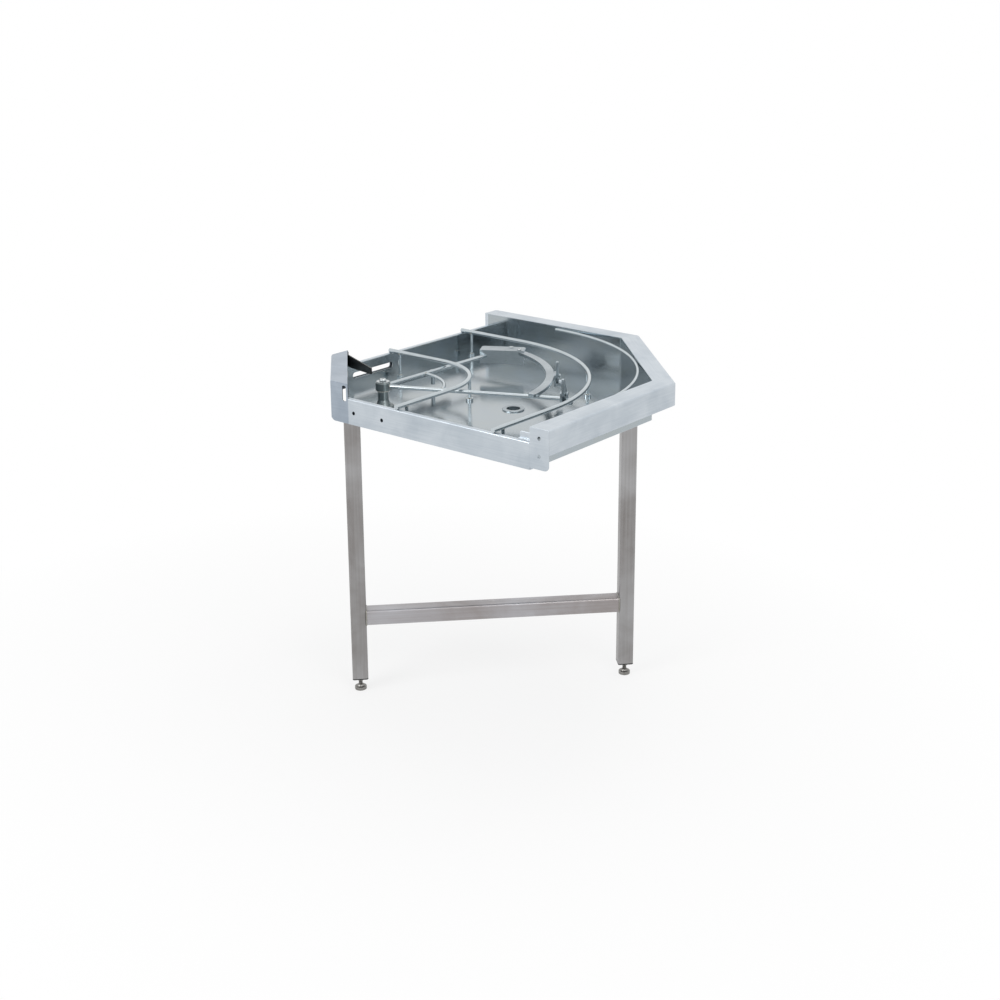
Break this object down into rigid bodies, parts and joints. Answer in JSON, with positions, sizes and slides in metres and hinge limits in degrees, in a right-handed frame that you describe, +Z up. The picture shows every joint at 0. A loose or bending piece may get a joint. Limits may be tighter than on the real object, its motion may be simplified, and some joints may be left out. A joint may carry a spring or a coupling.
{
  "type": "rack conveyor corner section",
  "caption": "Free-draining stainless corner section for a dish rack conveyor: bent rails, pivoting push frame with gravity pawls, raised rims and a two-legged stand.",
  "frame": {"origin": "midway between the two holes of the front joint, on the outer face of the front sill", "axes": "+Z up; +Y from the front open side towards the back rim; +X along the front sill towards the right rim"},
  "size_m": [0.82, 0.82, 0.8705],
  "materials": {
    "stainless_sheet": "satin brushed sheet",
    "stainless_rod": "polished round bar",
    "stainless_machined": "machined",
    "stainless_tube": "satin square tube",
    "black_plastic": "matte",
    "white_plastic": "matte"
  },
  "bodies": {
    "tray": {"basin": "stainless_sheet", "corner_guard": "stainless_sheet", "corner_rod": "stainless_rod", "crossbar": "stainless_tube", "drain_body": "stainless_machined", "drain_nut": "black_plastic", "foot_insert_far": "black_plastic", "foot_insert_near": "black_plastic", "foot_locknut_far": "stainless_machined", "foot_locknut_near": "stainless_machined", "guard_end_front": "stainless_sheet", "guard_end_left": "stainless_sheet", "guide_blade": "black_plastic", "guide_blade_screws": "stainless_machined", "leg_bolts": "stainless_machined", "leg_far": "stainless_tube", "leg_near": "stainless_tube", "outer_rim": "stainless_sheet", "pivot_nut": "stainless_machined", "pivot_post": "stainless_machined", "pivot_screw": "stainless_machined", "pivot_washer": "stainless_machined", "rail_inner": "stainless_rod", "rail_inner_nuts": "stainless_machined", "rail_outer": "stainless_rod", "rail_outer_nuts": "stainless_machined", "rim_end_front": "stainless_sheet", "rim_end_left": "stainless_sheet", "sill_stop": "stainless_sheet", "under_channel": "stainless_tube"},
    "swing_frame": {"pivot_bush": "white_plastic", "swing_hub": "stainless_machined", "swing_arm_long": "stainless_rod", "swing_arm_short": "stainless_rod", "swing_brace": "stainless_rod", "swing_carrier": "stainless_machined", "swing_gusset": "stainless_machined", "swing_gusset_bolts": "stainless_machined", "drive_bar": "stainless_machined", "drive_pin": "stainless_machined", "pawl_lug_1": "stainless_machined", "pawl_lug_2": "stainless_machined", "pawl_pin_1": "stainless_machined", "pawl_pin_2": "stainless_machined"},
    "pawl_middle": {"pawl_1": "stainless_machined"},
    "pawl_exit": {"pawl_2": "stainless_machined"},
    "foot_near_screw": {"foot_near": "stainless_machined"},
    "foot_far_screw": {"foot_far": "stainless_machined"},
    "strainer": {"drain_strainer": "stainless_machined"}
  },
  "joints": [
    {"name": "swing_pivot", "type": "hinge", "parent": "tray", "child": "swing_frame", "pos_m": [-0.095, 0.152, 0.0245], "axis": [0, 0, 1], "range_deg": [-12, 12]},
    {"name": "pawl_1_hinge", "type": "hinge", "parent": "swing_frame", "child": "pawl_middle", "pos_m": [0.2049, 0.45106, 0.0365], "axis": [0.809, 0.5878, 0], "range_deg": [0, 60]},
    {"name": "pawl_2_hinge", "type": "hinge", "parent": "swing_frame", "child": "pawl_exit", "pos_m": [0.3161, 0.33503, 0.0365], "axis": [0.9135, 0.4067, 0], "range_deg": [0, 60]},
    {"name": "foot_near_height", "type": "slide", "parent": "tray", "child": "foot_near_screw", "axis": [0, 0, 1], "range_m": [-0.015, 0.01]},
    {"name": "foot_far_height", "type": "slide", "parent": "tray", "child": "foot_far_screw", "axis": [0, 0, 1], "range_m": [-0.015, 0.01]},
    {"name": "strainer_lift", "type": "slide", "parent": "tray", "child": "strainer", "axis": [0, 0, 1], "range_m": [0, 0.02]}
  ]
}
